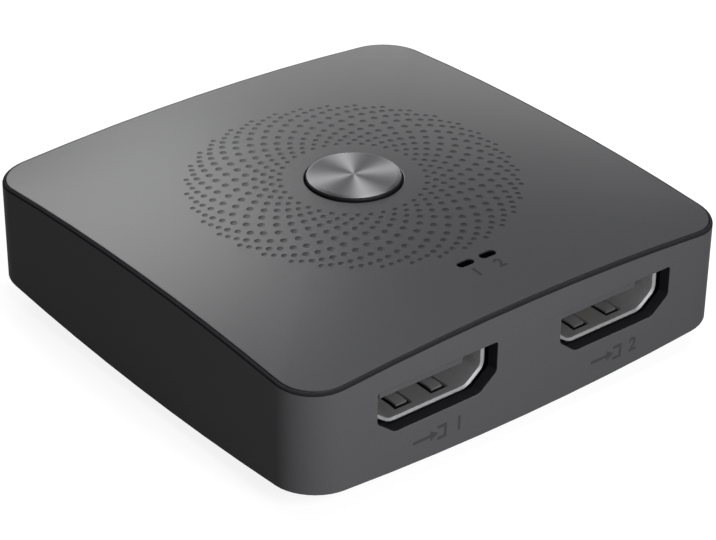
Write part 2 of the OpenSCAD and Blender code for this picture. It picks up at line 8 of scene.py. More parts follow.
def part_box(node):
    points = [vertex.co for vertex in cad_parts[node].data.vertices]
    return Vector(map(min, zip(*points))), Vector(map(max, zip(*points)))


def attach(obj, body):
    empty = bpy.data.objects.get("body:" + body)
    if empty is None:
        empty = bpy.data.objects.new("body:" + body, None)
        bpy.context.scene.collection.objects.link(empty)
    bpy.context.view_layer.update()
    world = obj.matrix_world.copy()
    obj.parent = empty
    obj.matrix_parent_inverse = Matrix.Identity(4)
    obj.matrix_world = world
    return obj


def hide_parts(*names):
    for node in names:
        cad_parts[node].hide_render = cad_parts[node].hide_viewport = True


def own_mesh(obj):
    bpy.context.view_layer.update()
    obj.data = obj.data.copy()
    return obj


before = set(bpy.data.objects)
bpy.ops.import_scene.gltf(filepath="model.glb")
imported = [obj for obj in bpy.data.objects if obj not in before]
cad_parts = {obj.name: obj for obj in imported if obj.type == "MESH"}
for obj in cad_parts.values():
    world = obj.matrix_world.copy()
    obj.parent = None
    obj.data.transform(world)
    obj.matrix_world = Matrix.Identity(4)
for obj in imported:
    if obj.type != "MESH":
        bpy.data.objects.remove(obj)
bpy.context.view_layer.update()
scene = bpy.context.scene
scene.view_settings.view_transform = "Standard"

# Camera: a long lens in front and to the left of the box, looking down on its top.
# Its turn, height, tilt, distance and lens come from the edges of the case in the photograph.
mm = 0.001
view_turn, view_height, view_tilt = (math.radians(a) for a in (-38.985, 30.817, 0.684))
view_target = Vector((0.767, 0, 5.652)) * mm
view_distance = 288.11 * mm
back = Vector((math.sin(view_turn) * math.cos(view_height),
               -math.cos(view_turn) * math.cos(view_height), math.sin(view_height)))
right = Vector((math.cos(view_turn), math.sin(view_turn), 0))
right = Matrix.Rotation(view_tilt, 3, back) @ right
up = back.cross(right)
camera = bpy.data.objects.new("camera", bpy.data.cameras.new("camera"))
camera.data.sensor_width = 36
camera.data.lens = 125.81
camera.data.clip_start = 10 * mm
camera.matrix_world = Matrix.Translation(view_target + view_distance * back) @ \
    Matrix((right, up, back)).transposed().to_4x4()
scene.collection.objects.link(camera)
scene.camera = camera

# Housing: the four walls of the case, one ABS moulding with round upright corners and a thin
# lip above and below. It is painted a satin dark grey outside; the cut edges of the socket
# openings are coloured black as painted shade. Sizes are in millimetres from here on.
case_half, corner_r, wall_t = 30, 5, 1.5
lip_t, lip_drop, lip_chamfer, under_edge = 0.3, 0.05, 0.285, 0.07
dome_r, side_h, foot_lift = 320, 14.7, 0.5
dome_sag = dome_r - math.sqrt(dome_r ** 2 - case_half ** 2)
z_top = foot_lift + side_h + 2 * dome_sag
z_mid = (foot_lift + z_top) / 2
panel_t, cover_t, seat_gap, edge_gap = 1, 1.5, 0.05, 0.1
corner_steps, side_steps = 10, 8
socket_w, socket_h, slant_w, slant_h, socket_round_steps = 14, 4.55, 2, 1.6, 4
shell_t, cutout_gap, cutout_side_gap, cutout_round, rim_gap = 0.3, 0.22, 0.57, 0.35, 0.1
mouth_edge = 0.1
port_x, port_above_mid = 12.6, 0.95
z_port = z_mid + port_above_mid
rim_y = wall_t + rim_gap - case_half
socket_places = [Matrix.Translation((-port_x, rim_y, z_port)),
                 Matrix.Translation((port_x, rim_y, z_port)),
                 Matrix.Translation((0, -rim_y, z_port)) @ Matrix.Rotation(math.pi, 4, "Z")]


def top_at(x, y, sunk=0):
    """Height of the domed top, sunk by a depth."""
    return z_top - dome_r + math.sqrt((dome_r - sunk) ** 2 - x * x - y * y)


def under_at(x, y, raised=0):
    """Height of the domed underside, raised by a depth."""
    return foot_lift + dome_r - math.sqrt((dome_r - raised) ** 2 - x * x - y * y)


def drawn_in(co, inset, r, half):
    """Point of a round-cornered outline moved inwards, square to the outline."""
    core = Vector([max(r - half, min(half - r, c)) for c in co.xy])
    out = (co.xy - core).normalized()
    return co.xy - out * inset


def rounded(bm, geom, offset, segments, affect="EDGES", finish=None):
    """Bevel edges or corners; the new faces can take one of the piece's finishes."""
    made = bmesh.ops.bevel(bm, geom=geom, offset=offset, offset_type="OFFSET", affect=affect,
                           segments=segments, profile=0.5, material=-1)["faces"]
    if finish is not None:
        for f in made:
            f.material_index = finish


def case_outline(bm, inset):
    """Edges of the case's round-cornered outline, drawn in by an inset."""
    half = case_half - inset
    bmesh.ops.create_grid(bm, x_segments=1, y_segments=1, size=half)
    rounded(bm, bm.verts[:], corner_r - inset, corner_steps, "VERTICES")
    sides = [e for e in bm.edges if e.calc_length() > half]
    bmesh.ops.subdivide_edges(bm, edges=sides, cuts=side_steps - 1)
    bmesh.ops.delete(bm, geom=bm.faces[:], context="FACES_ONLY")
    return bm.edges[:]


def next_ring(bm, ring, place):
    """New ring of edges beside a ring, joined to it by faces, with each vertex put in its place."""
    made = bmesh.ops.extrude_edge_only(bm, edges=ring)["geom"]
    verts = {g for g in made if isinstance(g, bmesh.types.BMVert)}
    for v in verts:
        v.co = place(v.co)
    return [g for g in made if isinstance(g, bmesh.types.BMEdge) and set(g.verts) <= verts]


def drawn_out(bm, faces, vec):
    """Extrude faces along a vector."""
    made = bmesh.ops.extrude_face_region(bm, geom=faces)["geom"]
    bmesh.ops.translate(bm, vec=vec, verts=[g for g in made if isinstance(g, bmesh.types.BMVert)])


def socket_prism(bm, grow, spread, y0, y1, round_r):
    """Prism of a socket's outline, wide side up, grown outwards, from one depth to another."""
    slope = math.atan2(slant_h, slant_w)
    x_side, z_end = socket_w / 2 + grow + spread, socket_h / 2 + grow
    z_knee = slant_h - socket_h / 2 - grow * (1 - math.sin(slope)) / math.cos(slope)
    x_flat = socket_w / 2 - slant_w + grow * (1 - math.cos(slope)) / math.sin(slope) + spread
    outline = ((-x_side, z_end), (-x_side, z_knee), (-x_flat, -z_end),
               (x_flat, -z_end), (x_side, z_knee), (x_side, z_end))
    verts = [bm.verts.new((x, y0, z)) for x, z in outline]
    bm.faces.new(verts)
    rounded(bm, verts, round_r, socket_round_steps, "VERTICES")
    face = [f for f in bm.faces if all(abs(v.co.y - y0) < 1e-6 for v in f.verts)]
    drawn_out(bm, face, (0, y1 - y0, 0))


def cut(bm, tool):
    """The shape less the tool's shape; both are used up."""
    pair = []
    for name, shape in (("blank", bm), ("tool", tool)):
        bmesh.ops.recalc_face_normals(shape, faces=shape.faces)
        mesh = bpy.data.meshes.new(name)
        shape.to_mesh(mesh)
        shape.free()
        pair.append(bpy.data.objects.new(name, mesh))
        scene.collection.objects.link(pair[-1])
    rule = pair[0].modifiers.new("cut", "BOOLEAN")
    rule.operation, rule.solver, rule.object = "DIFFERENCE", "EXACT", pair[1]
    done = bmesh.new()
    done.from_mesh(pair[0].evaluated_get(bpy.context.evaluated_depsgraph_get()).to_mesh())
    for o in pair:
        bpy.data.meshes.remove(o.data)
    return done


def piece(name, bm, body, replaced, materials, sharp=30):
    """Object from a shape in millimetres, riding on its body in place of its CAD nodes."""
    bmesh.ops.scale(bm, vec=(mm, mm, mm), verts=bm.verts)
    mesh = bpy.data.meshes.new(name)
    bm.to_mesh(mesh)
    bm.free()
    mesh.shade_smooth()
    mesh.set_sharp_from_angle(angle=math.radians(sharp))
    for m in materials:
        mesh.materials.append(m)
    made = bpy.data.objects.new(name, mesh)
    scene.collection.objects.link(made)
    weighted = made.modifiers.new("normals", "WEIGHTED_NORMAL")
    weighted.keep_sharp = True
    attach(made, body)
    if replaced:
        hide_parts(*replaced)
    return made


def linear(code):
    """Linear colour of an sRGB hex code."""
    parts = [int(code[i:i + 2], 16) / 255 for i in (1, 3, 5)]
    return [c / 12.92 if c <= 0.04045 else ((c + 0.055) / 1.055) ** 2.4 for c in parts] + [1]


def node(tree, kind, links=None, **settings):
    """New shader node with its settings, and with its inputs set or linked."""
    made = tree.nodes.new("ShaderNode" + kind)
    for key, value in settings.items():
        setattr(made, key, value)
    for key, value in (links or {}).items():
        if isinstance(value, bpy.types.NodeSocket):
            tree.links.new(value, made.inputs[key])
        else:
            made.inputs[key].default_value = value
    return made


def finish_of(name, colour, colour_to, grain, shader, bump=0.0, roughness=(0.4, 0.5)):
    """Material whose colour and roughness vary with a grain of a size in millimetres."""
    made = bpy.data.materials.new(name)
    made.use_nodes = True
    tree = made.node_tree
    tree.nodes.clear()
    place = node(tree, "TexCoord").outputs["Object"]
    noise = node(tree, "TexNoise", {"Vector": place, "Scale": 1 / (grain * mm), "Detail": 3.0,
                                    "Roughness": 0.6}).outputs[0]
    middle = {"Value": noise, "From Min": 0.3, "From Max": 0.7}
    tint = node(tree, "ValToRGB", {"Fac": node(tree, "MapRange", middle).outputs[0]})
    tint.color_ramp.elements[0].color = linear(colour)
    tint.color_ramp.elements[1].color = linear(colour_to)
    rough = node(tree, "MapRange", {**middle, "To Min": roughness[0], "To Max": roughness[1]})
    links = {"Base Color": tint.outputs[0], "Roughness": rough.outputs[0], **shader}
    if bump:
        links["Normal"] = node(tree, "Bump", {"Height": noise, "Strength": bump,
                                              "Distance": grain * mm}).outputs[0]
    surface = node(tree, "BsdfPrincipled", links)
    node(tree, "OutputMaterial", {"Surface": surface.outputs[0]})
    return made


walls = bmesh.new()
first = case_outline(walls, 0)
for v in walls.verts:
    v.co.z = under_at(v.co.x, v.co.y, lip_drop)
# Inset, dome and depth of each ring of edges, up the outside of the wall and down its inside
steps = [(0, top_at, lip_drop), (lip_t, top_at, lip_drop), (lip_t, top_at, panel_t + seat_gap),
         (wall_t, top_at, panel_t + seat_gap), (wall_t, under_at, cover_t + seat_gap),
         (lip_t, under_at, cover_t + seat_gap), (lip_t, under_at, lip_drop)]
ring, at_inset, rings = first, 0, [first]
for inset, height, depth in steps:
    def stepped(co, move=inset - at_inset, r=corner_r - at_inset, half=case_half - at_inset):
        x, y = drawn_in(co, move, r, half)
        return Vector((x, y, height(x, y, depth)))
    ring, at_inset = next_ring(walls, ring, stepped), inset
    rings.append(ring)
bmesh.ops.bridge_loops(walls, edges=first + ring)
# Painted shade: the lip's chamfer takes a dark grey finish, for the shadow of the seam round the
# panel.
rounded(walls, rings[1], lip_chamfer, 2, finish=2)
rounded(walls, [e for e in rings[0] + rings[-1] if e.is_valid], under_edge, 2)
for place in socket_places:
    tool = bmesh.new()
    socket_prism(tool, shell_t + cutout_gap, cutout_side_gap, -2 * wall_t, wall_t, cutout_round)
    bmesh.ops.transform(tool, matrix=place, verts=tool.verts)
    walls = cut(walls, tool)
# The openings' own faces lie half-way through a wall, about as high as the sockets
# These faces take the black finish: painted shade for the dark inside the openings.
openings = []
for f in walls.faces:
    mid = f.calc_center_median()
    in_wall = abs(abs(mid.y) - case_half + wall_t / 2) < wall_t / 5
    if (in_wall and abs(f.normal.y) < 0.1 and abs(mid.x) < case_half - corner_r
            and abs(mid.z - z_port) < socket_h / 2 + 1):
        f.material_index = 1
        openings.append(f)
mouth = {e for f in openings for e in f.edges
         if all(abs(abs(v.co.y) - case_half) < 1e-4 for v in e.verts)}
rounded(walls, list(mouth), mouth_edge, 2, finish=0)
# Satin paint: an even dark grey with hardly any gloss
paint = finish_of("satin_paint_on_abs", "#545456", "#58585a", 0.18,
                  {"Specular IOR Level": 0.008}, 0.02, (0.5, 0.58))
# Black and dark grey ABS: painted shade, a deep matt black in the openings and a thin dark line
# round the panel for the shadow of its seam
opening_shade_black = finish_of("black_abs_painted_opening_shade", "#19191b", "#1d1d1f", 0.3,
                     {"Specular IOR Level": 0.03}, 0.02, (0.6, 0.7))
seam_shade_grey = finish_of("grey_abs_painted_seam_shade", "#222224", "#262628", 0.3,
                    {"Specular IOR Level": 0.01}, 0.02, (0.6, 0.7))
piece("case_walls", walls, "case", ["housing"], [paint, opening_shade_black, seam_shade_grey])

# Top panel: a domed aluminium sheet, bead blasted and anodised dark grey, glued into the
# housing's rebate. A spiral of 14 rings of shallow dimples is pressed round the button hole,
# and two slots let the indicator lights through. Its edge is chamfered down to the lip.
panel_inset, edge_chamfer, hole_chamfer, panel_steps = lip_t + edge_gap, 0.12, 0.1, 24
hole_r, slot_l, slot_w, slot_pitch, slot_y = 5.65, 2.2, 1.05, 3.1, -21.05
slot_round, slot_from, slot_tool_h = 0.495 * slot_w, z_mid + 2, 10
# Dimples: number in a ring, depth, share of the floor, and how far the tool stands proud
dots, dot_depth, dot_floor, dot_over, dot_sides = 36, 0.025, 0.45, 0.005, 12
# Radius of each ring, its turn in steps of a dimple, and its dimples' diameter
dot_rings = [(8.34, 0.5, 0.74), (9.26, 0.075, 0.78), (10.17, -0.325, 0.82), (11.14, -0.75, 0.86),
             (12.2, -1.225, 0.9), (13.32, -1.75, 0.92), (14.43, -2.29, 0.92),
             (15.48, -2.765, 0.92), (16.32, -3.195, 0.9), (17.06, -3.6, 0.86),
             (17.66, -3.95, 0.82), (18.13, -4.275, 0.78), (18.5, -4.595, 0.74),
             (18.85, -4.905, 0.7)]


def on_top(x, y, sunk=0):
    """Point on the domed top, sunk by a depth."""
    return Vector((x, y, top_at(x, y, sunk)))


panel = bmesh.new()
case_outline(panel, panel_inset)
bmesh.ops.create_circle(panel, segments=len(panel.verts), radius=hole_r,
                        matrix=Matrix.Rotation(math.pi / len(panel.verts), 4, "Z"))
strips = bmesh.ops.bridge_loops(panel, edges=panel.edges[:])
bmesh.ops.subdivide_edges(panel, edges=strips["edges"], cuts=panel_steps - 1, use_grid_fill=True)
for v in panel.verts:
    v.co = on_top(*v.co.xy)
rims = [e for e in panel.edges if e.is_boundary]
outline = [e for e in rims if e.verts[0].co.xy.length > case_half / 2]
hole = [e for e in rims if e not in outline]
low_out = next_ring(panel, outline, lambda co: on_top(*co.xy, panel_t))
low_in = next_ring(panel, hole, lambda co: on_top(*co.xy, panel_t))
bmesh.ops.bridge_loops(panel, edges=low_out + low_in)
# Painted shade: the edge chamfer takes the dimples' darker finish, for the shadow of the seam round
# the panel.
rounded(panel, outline, edge_chamfer, 2, finish=1)
rounded(panel, hole, hole_chamfer, 2)
for side in (-1, 1):
    tool = bmesh.new()
    bmesh.ops.create_grid(tool, x_segments=1, y_segments=1, size=0.5)
    bmesh.ops.scale(tool, vec=(slot_l, slot_w, 1), verts=tool.verts)
    rounded(tool, tool.verts[:], slot_round, 6, "VERTICES")
    drawn_out(tool, tool.faces[:], (0, 0, slot_tool_h))
    bmesh.ops.translate(tool, vec=(side * slot_pitch / 2, slot_y, slot_from), verts=tool.verts)
    panel = cut(panel, tool)
tool = bmesh.new()
for r, turn, d in dot_rings:
    wide = d / 2 * (1 + (1 - dot_floor) * dot_over / dot_depth)
    for k in range(dots):
        way = 2 * math.pi * (k + turn) / dots
        spot = (r * math.cos(way), r * math.sin(way), (dot_over - dot_depth) / 2)
        bmesh.ops.create_cone(tool, cap_ends=True, segments=dot_sides, radius1=dot_floor * d / 2,
                              radius2=wide, depth=dot_depth + dot_over,
                              matrix=Matrix.Translation(spot))
for v in tool.verts:
    v.co = on_top(v.co.x, v.co.y, -v.co.z)
panel = cut(panel, tool)
# Painted shade: the dimples' floors take the darker finish.
for f in panel.faces:
    if any(0.9 < (top_at(*v.co.xy) - v.co.z) / dot_depth < 1.1 for v in f.verts):
        f.material_index = 1
# Blasted aluminium: a fine grit that spreads the light into a broad soft sheen. The real grit
# is about 0.1 mm; it is drawn twice as coarse to show.
blasted = finish_of("bead_blasted_anodised_aluminium", "#39393b", "#3d3d3f", 0.22,
                    {"Specular IOR Level": 0.31}, 0.06, (0.28, 0.32))
# The dimples' floors are darker and duller, painted shade so that the dimples read as rows of dark
# dots
dimple_and_seam_shade = finish_of("anodised_painted_dimple_and_seam_shade", "#242426", "#28282a", 0.22,
                         {"Specular IOR Level": 0.14}, 0.06, (0.3, 0.36))
# The dimples' sides slope by only a few degrees, so their edges count as sharp from 3
piece("domed_panel", panel, "case", ["top_panel"], [blasted, dimple_and_seam_shade],
      sharp=3)

# Button: a black ABS cap that slides in the panel's hole, held by a flange underneath, and a
# turned aluminium disc glued on it. The lathe leaves fine rings on the disc's face, which
# spread each light into a pair of bright fans, and its rim is cut to a bright bevel.
button_r, button_rise, flange_w, flange_t, flange_gap = 5.45, 0.5, 1.2, 0.8, 0.1
disc_r, disc_t, bevel_w, bevel_h = 5.35, 0.3, 0.35, 0.15
cap_edge, cap_wall, stem_r = 0.08, 1.2, 1.6
z_face = z_top + button_rise
z_cap = z_face - disc_t
z_flange = top_at(button_r + flange_w, 0, panel_t) - flange_gap
z_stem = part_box("button_cap")[0].z / mm


def turned(profile, steps=128):
    """Shape turned round the upright axis from a profile of radius and height."""
    bm = bmesh.new()
    verts = [bm.verts.new((r, 0, z)) for r, z in profile]
    edges = [bm.edges.new(pair) for pair in zip(verts, verts[1:])]
    bmesh.ops.spin(bm, geom=verts + edges, cent=(0, 0, 0), axis=(0, 0, 1), angle=2 * math.pi,
                   steps=steps, use_merge=True)
    bmesh.ops.remove_doubles(bm, verts=bm.verts, dist=1e-4)
    bmesh.ops.recalc_face_normals(bm, faces=bm.faces)
    return bm


cap = turned([(0, z_cap), (button_r - cap_edge, z_cap), (button_r, z_cap - cap_edge),
              (button_r, z_flange), (button_r + flange_w, z_flange),
              (button_r + flange_w, z_flange - flange_t),
              (button_r - cap_wall, z_flange - flange_t), (button_r - cap_wall, z_flange),
              (stem_r, z_flange), (stem_r, z_stem), (0, z_stem)])
# Moulded ABS: a black rim under the disc with a weak gloss
black_abs = finish_of("moulded_black_abs", "#101010", "#131313", 0.25,
                      {"Specular IOR Level": 0.3}, 0.02, (0.35, 0.45))
piece("button_cap_black", cap, "button", ["button_cap"], [black_abs])
# The real rings are about 0.05 mm apart; they are drawn three times as coarse to show.
ring_pitch, ring_depth, pip_r = 0.15, 0.004, 0.12
face_r = disc_r - bevel_w
profile = [(0, z_face - 2 * ring_depth), (pip_r, z_face)]
for k in range(int((face_r - pip_r) / ring_pitch)):
    profile += [(pip_r + (k + 0.5) * ring_pitch, z_face - ring_depth),
                (pip_r + (k + 1) * ring_pitch, z_face)]
profile += [(face_r, z_face), (disc_r, z_face - bevel_h), (disc_r, z_cap), (0, z_cap)]
disc = turned(profile)
# The layer says which way the lathe cut, for the highlights to follow
turns = disc.loops.layers.uv.new("turning")
for f in disc.faces:
    mid = f.calc_center_median()
    for loop in f.loops:
        co = loop.vert.co
        lead = mid.xy.angle_signed(co.xy, 0) if co.xy.length > 1e-6 else 0
        loop[turns].uv = (co.xy.length / disc_r,
                          (math.atan2(mid.y, mid.x) - lead) / (2 * math.pi))
# Turned aluminium: a grey metal whose rings stretch each highlight into a bright fan
turned_face = finish_of("turned_aluminium", "#78787a", "#7c7c7e", 0.3,
                        {"Metallic": 1.0, "Anisotropic": 0.855}, 0.0, (0.52, 0.56))
tree = turned_face.node_tree
along = node(tree, "Tangent", direction_type="UV_MAP", uv_map="turning")
shader = next(n for n in tree.nodes if n.type == "BSDF_PRINCIPLED")
tree.links.new(along.outputs[0], shader.inputs["Tangent"])
piece("button_disc_turned", disc, "button", ["button_disc"], [turned_face],
      sharp=35)

# HDMI sockets: a shell folded from tin-plated steel sheet, with a slightly flared mouth, two
# spring fingers in its floor and two in its roof, soldered to the board by four legs. Its rim
# stands just behind the wall, and the grey tongue and the gold contacts sit inside it.
socket_l, shell_round, bore_round = 11, 0.75, 0.45
finger_w, finger_l, finger_from_rim, finger_x, finger_cut = 1.4, 3.7, 1.05, 2.4, 0.45
finger_rise, finger_crest, finger_t, finger_steps = 0.2, 0.65, 0.8 * shell_t, 12
rim_edge, flare_l, flare_x, flare_z = 0.22, 2, 0.045, 0.03
leg_w, leg_front, leg_pitch, leg_low = 1.2, 2.4, 6, 4.7
# Matt tin: a pale metal with soft reflections. The rim's pale matt grey is a painted highlight, a
# bright line round the mouth
tin = finish_of("matt_tin_plated_steel", "#c4c4c6", "#cacacc", 0.4,
                {"Metallic": 0.85}, 0.01, (0.34, 0.42))
rim_highlight = finish_of("tin_rim_painted_highlight", "#9c9c9e", "#a5a5a7", 0.4,
                        {"Metallic": 0.25, "Specular IOR Level": 0.3}, 0.01, (0.5, 0.55))


def box_between(bm, low, high):
    """Box between two corners."""
    made = bmesh.ops.create_cube(bm, size=1)["verts"]
    bmesh.ops.scale(bm, vec=[b - a for a, b in zip(low, high)], verts=made)
    bmesh.ops.translate(bm, vec=[(a + b) / 2 for a, b in zip(low, high)], verts=made)


def dress(name, coat):
    """Give a CAD node that stays as it is its material."""
    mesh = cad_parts[name].data
    mesh.materials.clear()
    mesh.materials.append(coat)


sides = [(sx, sz) for sx in (-1, 1) for sz in (-1, 1)]
for name, place in zip(("in_1", "in_2", "out"), socket_places):
    shell = bmesh.new()
    socket_prism(shell, shell_t, 0, 0, socket_l, shell_round)
    tool = bmesh.new()
    socket_prism(tool, 0, 0, -1, socket_l + 1, bore_round)
    shell = cut(shell, tool)
    window = finger_w / 2 + finger_cut
    for sx, sz in sides:
        tool = bmesh.new()
        z_sheet = sz * socket_h / 2
        box_between(tool, (sx * finger_x - window, finger_from_rim,
                           z_sheet - shell_t * (1.5 + sz / 2)),
                    (sx * finger_x + window, finger_from_rim + finger_l,
                     z_sheet + shell_t * (1.5 - sz / 2)))
        shell = cut(shell, tool)
    shell.normal_update()
    rim = [e for e in shell.edges if all(abs(v.co.y) < 1e-4 for v in e.verts)
           and any(f.normal.dot(f.calc_center_median() * Vector((1, 0, 1))) < -0.1
                   for f in e.link_faces)]
    # Painted highlight: the rim's bevel takes the pale matt finish, a bright line round the mouth.
    rounded(shell, rim, rim_edge, 1, finish=1)
    bmesh.ops.bisect_plane(shell, geom=shell.verts[:] + shell.edges[:] + shell.faces[:],
                           dist=1e-5, plane_co=(0, flare_l, 0), plane_no=(0, 1, 0))
    for v in shell.verts:
        bent = max(0, 1 - v.co.y / flare_l)
        v.co = Vector((v.co.x * (1 + flare_x * bent), v.co.y, v.co.z * (1 + flare_z * bent)))
    for sx, sz in sides:
        strip = bmesh.ops.create_grid(shell, x_segments=2, y_segments=finger_steps,
                                      size=0.5)["verts"]
        for v in strip:
            share = 0.5 - v.co.y
            bow = finger_rise * math.sin(math.pi / 2 * share / finger_crest)
            v.co = Vector((sx * finger_x + v.co.x * finger_w,
                           finger_from_rim + finger_l - share * (finger_l - finger_cut),
                           sz * (socket_h / 2 - bow)))
        drawn_out(shell, list({f for v in strip for f in v.link_faces}), (0, 0, sz * finger_t))
    for sx in (-1, 1):
        for y in (leg_front, leg_front + leg_pitch):
            x = sx * (socket_w + shell_t) / 2
            box_between(shell, (x - shell_t / 2, y - leg_w / 2, -leg_low),
                        (x + shell_t / 2, y + leg_w / 2, slant_h + shell_t - socket_h / 2))
    bmesh.ops.recalc_face_normals(shell, faces=shell.faces)
    bmesh.ops.transform(shell, matrix=place, verts=shell.verts)
    piece(f"socket_shell_{name}", shell, "case", [f"hdmi_{name}_shell"],
          [tin, rim_highlight])
# Moulded insulator: a plain matt grey tongue. Gold flash: small warm glints along it
insulator = finish_of("grey_insulator_moulding", "#4d4d4f", "#555557", 0.3,
                      {"Specular IOR Level": 0.3}, 0.02, (0.5, 0.6))
gold = finish_of("gold_flashed_contacts", "#c79a4a", "#d1a658", 0.3,
                 {"Metallic": 1.0}, 0.0, (0.25, 0.3))
for name in ("in_1", "in_2", "out"):
    dress(f"hdmi_{name}_insulator", insulator)
    dress(f"hdmi_{name}_contacts", gold)

# Bottom cover: a domed ABS moulding under the case with a fine spark-eroded texture, screwed up
# through its corners. The screws sit in round wells, and the feet in shallow round seats.
post_at, foot_at, foot_r, foot_clear, foot_seat = 24.4, 17.6, 4, 0.12, 0.15
screw_head_r, screw_head_t, screw_clear, screw_sunk = 2, 1.3, 0.2, 0.4
cover_edge, hub_r, cover_steps, well_steps = 0.2, 8, 7, 48
corners = [(sx, sy) for sx in (-1, 1) for sy in (-1, 1)]
z_seat = under_at(post_at, post_at) + screw_sunk + screw_head_t
z_foot = under_at(math.hypot(foot_at, foot_at) + foot_r, 0) + foot_seat
cover = bmesh.new()
case_outline(cover, panel_inset)
bmesh.ops.create_circle(cover, segments=len(cover.verts), radius=hub_r,
                        matrix=Matrix.Rotation(math.pi / len(cover.verts), 4, "Z"))
strips = bmesh.ops.bridge_loops(cover, edges=cover.edges[:])
bmesh.ops.subdivide_edges(cover, edges=strips["edges"], cuts=cover_steps - 1, use_grid_fill=True)
ring = [e for e in cover.edges if all(abs(v.co.xy.length - hub_r) < 1e-4 for v in e.verts)]
for r in (hub_r / 2, hub_r / 8):
    ring = next_ring(cover, ring, lambda co: (co.xy.normalized() * r).to_3d())
bmesh.ops.contextual_create(cover, geom=ring)
for v in cover.verts:
    v.co.z = under_at(*v.co.xy)
outline = [e for e in cover.edges if e.is_boundary]
inside = next_ring(cover, outline, lambda co: Vector((*co.xy, under_at(*co.xy, cover_t))))
bmesh.ops.contextual_create(cover, geom=inside)
rounded(cover, outline, cover_edge, 2)
for sx, sy in corners:
    for at, r, depth in ((post_at, screw_head_r + screw_clear, z_seat),
                         (foot_at, foot_r + foot_clear, z_foot)):
        tool = bmesh.new()
        bmesh.ops.create_cone(tool, cap_ends=True, segments=well_steps, radius1=r, radius2=r,
                              depth=depth + 1,
                              matrix=Matrix.Translation((sx * at, sy * at, (depth - 1) / 2)))
        cover = cut(cover, tool)
# Spark-eroded ABS: a fine even grit without gloss
eroded = finish_of("spark_eroded_abs", "#3b3b3d", "#434345", 0.16,
                   {"Specular IOR Level": 0.25}, 0.12, (0.55, 0.68))
piece("domed_cover", cover, "case", ["bottom_cover"], [eroded])

# Cover screws: four zinc-plated steel screws with flat round heads and a cross recess.
# Each was driven to a turn of its own.
cross_w, cross_l, cross_depth, screw_r, screw_l = 0.55, 2.6, 0.65, 1, 6
head_round, head_facet, screw_steps = 0.3, 0.09, 48
z_head, z_tip = z_seat - screw_head_t, z_seat + screw_l


def add_to(group, bm):
    """Add a shape to a group of shapes; the shape is used up."""
    part = bpy.data.meshes.new("part")
    bm.to_mesh(part)
    bm.free()
    group.from_mesh(part)
    bpy.data.meshes.remove(part)


screws = bmesh.new()
for sx, sy in corners:
    one = turned([(0, z_head), (screw_head_r - head_round, z_head),
                  (screw_head_r - head_facet, z_head + head_facet),
                  (screw_head_r, z_head + head_round), (screw_head_r, z_seat), (screw_r, z_seat),
                  (screw_r, z_tip), (0, z_tip)], screw_steps)
    for w, l in ((cross_w, cross_l), (cross_l, cross_w)):
        tool = bmesh.new()
        box_between(tool, (-w / 2, -l / 2, z_head - 1), (w / 2, l / 2, z_head + cross_depth))
        one = cut(one, tool)
    bmesh.ops.rotate(one, cent=(0, 0, 0), matrix=Matrix.Rotation(0.4 + sx + 2 * sy, 3, "Z"),
                     verts=one.verts)
    bmesh.ops.translate(one, vec=(sx * post_at, sy * post_at, 0), verts=one.verts)
    add_to(screws, one)
# Zinc plate: a grey, slightly clouded metal
zinc = finish_of("zinc_plated_steel", "#8b8c8e", "#97989a", 0.25,
                 {"Metallic": 1.0}, 0.03, (0.35, 0.45))
piece("corner_screws", screws, "case", ["cover_screws"], [zinc])

# Rubber feet: four moulded discs glued into their seats.
# Each has a rolled edge and a shallow dish, given as radius and height.
foot_profile = [(0, 0.15), (2.6, 0.15), (3.0, 0.03), (3.3, 0), (3.55, 0.02), (3.85, 0.13),
                (3.97, 0.3), (foot_r, 0.5), (foot_r, z_foot), (0, z_foot)]
foot_steps = 64
feet = bmesh.new()
for sx, sy in corners:
    one = turned(foot_profile, foot_steps)
    bmesh.ops.translate(one, vec=(sx * foot_at, sy * foot_at, 0), verts=one.verts)
    add_to(feet, one)
# Moulded rubber: nearly black and dull
rubber = finish_of("moulded_rubber", "#252525", "#2e2e2e", 0.2,
                   {"Specular IOR Level": 0.2}, 0.1, (0.7, 0.85))
piece("round_feet", feet, "case", ["rubber_feet"], [rubber])

# Snap disc: a dished disc of spring steel in the switch's well, under the plunger.
# It goes flat when the button is pressed, and pushes the button back up.
snap_t, snap_steps, snap_turn_steps = 0.1, 10, 48
low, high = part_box("switch_snap_disc")
rim_r, snap_h, z_well = (high.x - low.x) / 2 / mm, (high.z - low.z) / mm, low.z / mm
ball_r = (rim_r ** 2 + snap_h ** 2) / (2 * snap_h)
z_ball = z_well + snap_h - ball_r
profile = []
for r, order in ((ball_r, range(snap_steps + 1)),
                 (ball_r - snap_t, range(snap_steps, -1, -1))):
    reach = math.acos((ball_r - snap_h) / r) / snap_steps
    profile += [(r * math.sin(k * reach), z_ball + r * math.cos(k * reach)) for k in order]
snap = piece("snap_disc", turned(profile, snap_turn_steps), "case",
             ["switch_snap_disc"], [tin])
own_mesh(snap)

